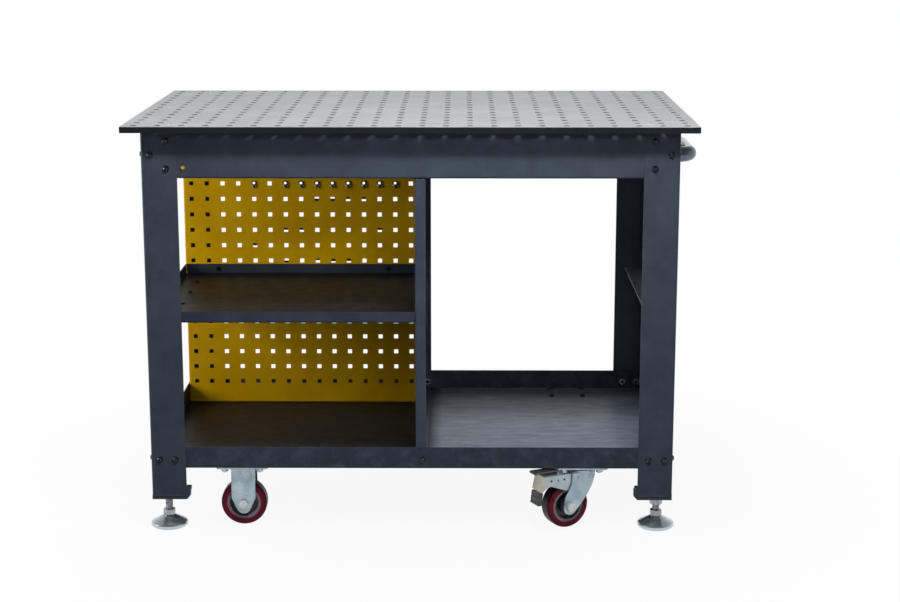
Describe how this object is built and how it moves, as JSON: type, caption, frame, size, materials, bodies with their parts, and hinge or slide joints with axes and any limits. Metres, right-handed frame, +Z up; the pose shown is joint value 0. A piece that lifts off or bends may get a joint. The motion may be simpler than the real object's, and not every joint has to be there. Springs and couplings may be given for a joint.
{
  "type": "mobile welding table",
  "caption": "Perforated steel welding table on a folded sheet frame with tray, half shelf, pegboard, levelling feet, rigid and braked swivel casters and a side handle.",
  "frame": {"origin": "on the floor, under the middle of the table's whole length and depth, handle included", "axes": "+X along the table towards the handle, +Y away from the front, +Z up"},
  "size_m": [1.23, 0.75, 0.885],
  "materials": {
    "ground_steel": "ground, lightly oiled",
    "slate_powder_coat": "satin powder coat",
    "yellow_powder_coat": "satin powder coat",
    "black_fasteners": "black oxide",
    "zinc_steel": "bright zinc plate",
    "chrome": "polished chrome",
    "wheel_tread": "matte",
    "wheel_core": "matte",
    "pad_plastic": "matte"
  },
  "bodies": {
    "frame": {"top_plate": "ground_steel", "plate_screws": "zinc_steel", "apron_front": "slate_powder_coat", "apron_rear": "slate_powder_coat", "apron_left": "slate_powder_coat", "apron_right": "slate_powder_coat", "leg_front_left": "slate_powder_coat", "leg_front_right": "slate_powder_coat", "leg_rear_left": "slate_powder_coat", "leg_rear_right": "slate_powder_coat", "base_plates": "slate_powder_coat", "bottom_tray": "slate_powder_coat", "mid_shelf": "slate_powder_coat", "divider": "slate_powder_coat", "pegboard": "yellow_powder_coat", "side_rail_left": "slate_powder_coat", "side_rail_right": "slate_powder_coat", "handle_tube": "chrome", "handle_plugs": "zinc_steel", "frame_bolts": "black_fasteners", "frame_nuts": "zinc_steel", "light_bolts": "black_fasteners", "light_nuts": "zinc_steel", "caster_bolts": "black_fasteners", "caster_nuts": "zinc_steel", "foot_lock_nuts": "zinc_steel", "rigid_bracket_front": "zinc_steel", "rigid_bracket_rear": "zinc_steel", "rigid_axles": "zinc_steel", "swivel_plate_front": "zinc_steel", "swivel_plate_rear": "zinc_steel", "kingpins": "zinc_steel"},
    "foot_front_left": {"foot_pad_front_left": "chrome", "spindle_front_left": "zinc_steel"},
    "foot_front_right": {"foot_pad_front_right": "chrome", "spindle_front_right": "zinc_steel"},
    "foot_rear_left": {"foot_pad_rear_left": "chrome", "spindle_rear_left": "zinc_steel"},
    "foot_rear_right": {"foot_pad_rear_right": "chrome", "spindle_rear_right": "zinc_steel"},
    "wheel_front_left": {"tread_front_left": "wheel_tread", "core_front_left": "wheel_core", "bearings_front_left": "zinc_steel"},
    "wheel_rear_left": {"tread_rear_left": "wheel_tread", "core_rear_left": "wheel_core", "bearings_rear_left": "zinc_steel"},
    "fork_front_right": {"fork_front": "zinc_steel", "fork_axle_front": "zinc_steel"},
    "wheel_front_right": {"tread_front_right": "wheel_tread", "core_front_right": "wheel_core", "bearings_front_right": "zinc_steel"},
    "brake_front_right": {"brake_arm_front": "zinc_steel", "brake_pad_front": "pad_plastic"},
    "fork_rear_right": {"fork_rear": "zinc_steel", "fork_axle_rear": "zinc_steel"},
    "wheel_rear_right": {"tread_rear_right": "wheel_tread", "core_rear_right": "wheel_core", "bearings_rear_right": "zinc_steel"},
    "brake_rear_right": {"brake_arm_rear": "zinc_steel", "brake_pad_rear": "pad_plastic"}
  },
  "joints": [
    {"name": "foot_front_left_height", "type": "slide", "parent": "frame", "child": "foot_front_left", "axis": [0, 0, 1], "range_m": [-0.02, 0.012]},
    {"name": "foot_front_right_height", "type": "slide", "parent": "frame", "child": "foot_front_right", "axis": [0, 0, 1], "range_m": [-0.02, 0.012]},
    {"name": "foot_rear_left_height", "type": "slide", "parent": "frame", "child": "foot_rear_left", "axis": [0, 0, 1], "range_m": [-0.02, 0.012]},
    {"name": "foot_rear_right_height", "type": "slide", "parent": "frame", "child": "foot_rear_right", "axis": [0, 0, 1], "range_m": [-0.02, 0.012]},
    {"name": "wheel_front_left_roll", "type": "hinge", "parent": "frame", "child": "wheel_front_left", "pos_m": [-0.384, -0.29, 0.051], "axis": [0, 1, 0], "continuous": true},
    {"name": "wheel_rear_left_roll", "type": "hinge", "parent": "frame", "child": "wheel_rear_left", "pos_m": [-0.384, 0.29, 0.051], "axis": [0, 1, 0], "continuous": true},
    {"name": "caster_front_right_swivel", "type": "hinge", "parent": "frame", "child": "fork_front_right", "pos_m": [0.354, -0.29, 0.129], "axis": [0, 0, 1], "continuous": true},
    {"name": "wheel_front_right_roll", "type": "hinge", "parent": "fork_front_right", "child": "wheel_front_right", "pos_m": [0.31823, -0.30791, 0.051], "axis": [0.4478, -0.8942, 0], "continuous": true},
    {"name": "brake_front_right_press", "type": "hinge", "parent": "fork_front_right", "child": "brake_front_right", "pos_m": [0.33791, -0.29806, 0.1141], "axis": [0.4478, -0.8942, 0], "range_deg": [0, 7]},
    {"name": "caster_rear_right_swivel", "type": "hinge", "parent": "frame", "child": "fork_rear_right", "pos_m": [0.354, 0.29, 0.129], "axis": [0, 0, 1], "continuous": true},
    {"name": "wheel_rear_right_roll", "type": "hinge", "parent": "fork_rear_right", "child": "wheel_rear_right", "pos_m": [0.31502, 0.281, 0.051], "axis": [0.225, -0.9744, 0], "continuous": true},
    {"name": "brake_rear_right_press", "type": "hinge", "parent": "fork_rear_right", "child": "brake_rear_right", "pos_m": [0.33646, 0.28595, 0.1141], "axis": [0.225, -0.9744, 0], "range_deg": [0, 7]}
  ]
}
